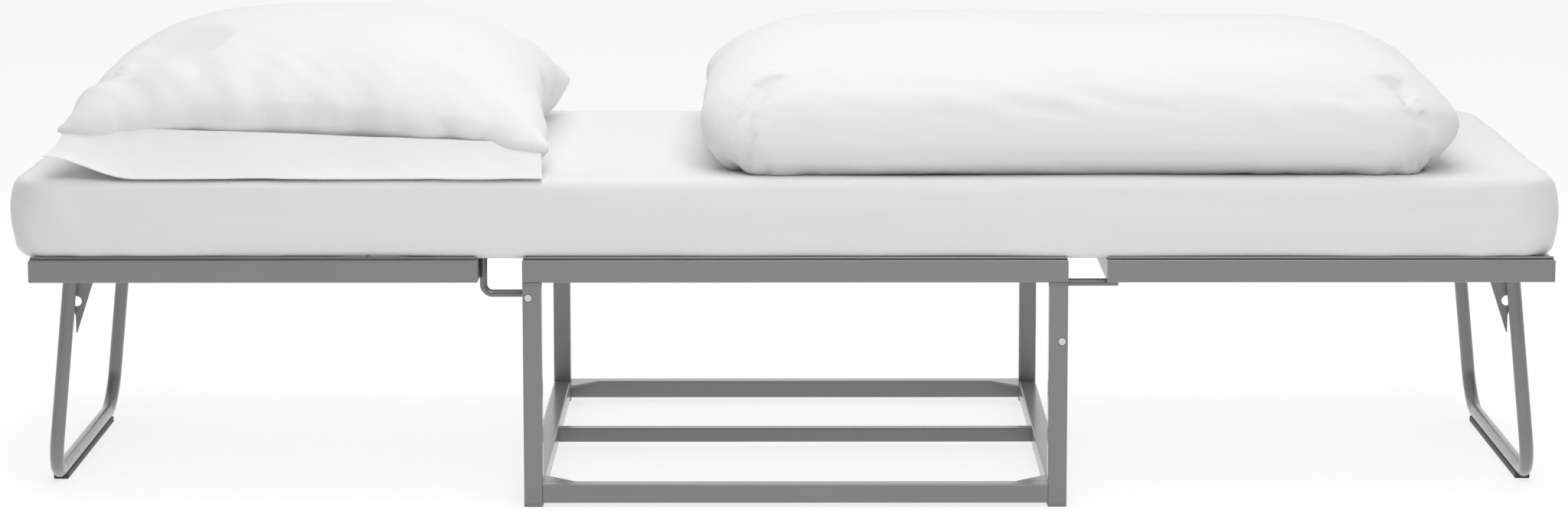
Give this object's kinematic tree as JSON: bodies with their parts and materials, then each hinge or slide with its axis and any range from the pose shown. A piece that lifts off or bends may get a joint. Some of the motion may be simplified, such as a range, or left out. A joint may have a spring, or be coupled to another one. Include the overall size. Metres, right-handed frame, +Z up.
{
  "type": "folding cot",
  "caption": "Folding guest bed on a steel cube base, with two hinged end sections, folding U legs, a loose centre frame, a padded mattress, a pillow and a folded duvet.",
  "frame": {"origin": "on the floor under the middle of the bed, the middle of the bounding box's underside", "axes": "+X along the bed from the head (pillow) to the foot, +Y across it from the near side to the far side, +Z up"},
  "size_m": [2.043, 0.8, 0.611],
  "materials": {
    "grey_steel": "satin grey powder coat",
    "mesh_wire": "satin grey powder coat on welded wire",
    "fastener": "zinc-plated steel",
    "dark_plastic": "moulded plastic",
    "fitted_sheet": "white cotton jersey over foam",
    "pillow_cover": "white cotton",
    "duvet_cover": "white cotton"
  },
  "bodies": {
    "base": {"post_head_near": "grey_steel", "post_head_far": "grey_steel", "post_foot_near": "grey_steel", "post_foot_far": "grey_steel", "ring_rail_near": "grey_steel", "ring_rail_far": "grey_steel", "ring_rail_head": "grey_steel", "ring_rail_foot": "grey_steel", "middle_bar": "grey_steel", "corner_gussets": "grey_steel", "post_feet": "dark_plastic", "post_plugs": "dark_plastic", "head_pivot_bushes": "dark_plastic", "foot_pivot_bushes": "dark_plastic"},
    "lid_spacers": {"lid_spacers": "dark_plastic"},
    "centre_frame": {"centre_rail_near": "grey_steel", "centre_rail_far": "grey_steel", "centre_tube_head": "grey_steel", "centre_tube_foot": "grey_steel", "centre_mesh": "mesh_wire", "centre_pad": "fitted_sheet"},
    "head_section": {"head_rail_near": "grey_steel", "head_rail_far": "grey_steel", "head_end_tube": "grey_steel", "head_inner_tube": "grey_steel", "head_mesh": "mesh_wire", "head_crank_rods": "grey_steel", "head_leg_brackets": "grey_steel", "head_leg_bolts": "fastener", "head_leg_nuts": "fastener", "head_pad": "fitted_sheet"},
    "head_legs": {"head_leg": "grey_steel", "head_leg_glide": "dark_plastic"},
    "foot_section": {"foot_rail_near": "grey_steel", "foot_rail_far": "grey_steel", "foot_end_tube": "grey_steel", "foot_inner_tube": "grey_steel", "foot_mesh": "mesh_wire", "foot_crank_rods": "grey_steel", "foot_leg_brackets": "grey_steel", "foot_leg_bolts": "fastener", "foot_leg_nuts": "fastener", "foot_pad": "fitted_sheet"},
    "foot_legs": {"foot_leg": "grey_steel", "foot_leg_glide": "dark_plastic"},
    "pillow": {"pillow": "pillow_cover"},
    "duvet": {"duvet": "duvet_cover"}
  },
  "joints": [
    {"name": "head_section_fold", "type": "hinge", "parent": "base", "child": "head_section", "pos_m": [-0.3398, 0, 0.2805], "axis": [0, 1, 0], "range_deg": [0, 180], "deforming": ["head_pad"]},
    {"name": "foot_section_fold", "type": "hinge", "parent": "base", "child": "foot_section", "pos_m": [0.3652, 0, 0.222], "axis": [0, -1, 0], "range_deg": [0, 180], "deforming": ["foot_pad"]},
    {"name": "head_legs_fold", "type": "hinge", "parent": "head_section", "child": "head_legs", "pos_m": [-0.9643, 0, 0.289], "axis": [0, -1, 0], "range_deg": [0, 95]},
    {"name": "foot_legs_fold", "type": "hinge", "parent": "foot_section", "child": "foot_legs", "pos_m": [0.9797, 0, 0.289], "axis": [0, 1, 0], "range_deg": [0, 95]},
    {"name": "lid_lift_for_head", "type": "slide", "parent": "base", "child": "lid_spacers", "axis": [0, 0, 1], "range_m": [0, 1.58]},
    {"name": "lid_lift_for_foot", "type": "slide", "parent": "lid_spacers", "child": "centre_frame", "axis": [0, 0, 1], "range_m": [0, 1.58]},
    {"name": "pillow_lift", "type": "slide", "parent": "centre_frame", "child": "pillow", "axis": [0, 0, 1], "range_m": [0, 0.3]},
    {"name": "duvet_lift", "type": "slide", "parent": "centre_frame", "child": "duvet", "axis": [0, 0, 1], "range_m": [0, 0.3]}
  ],
  "couplings": [
    {"joint": "lid_lift_for_head", "follows": "head_section_fold", "m_per_rad": 0.5},
    {"joint": "lid_lift_for_foot", "follows": "foot_section_fold", "m_per_rad": 0.5}
  ]
}
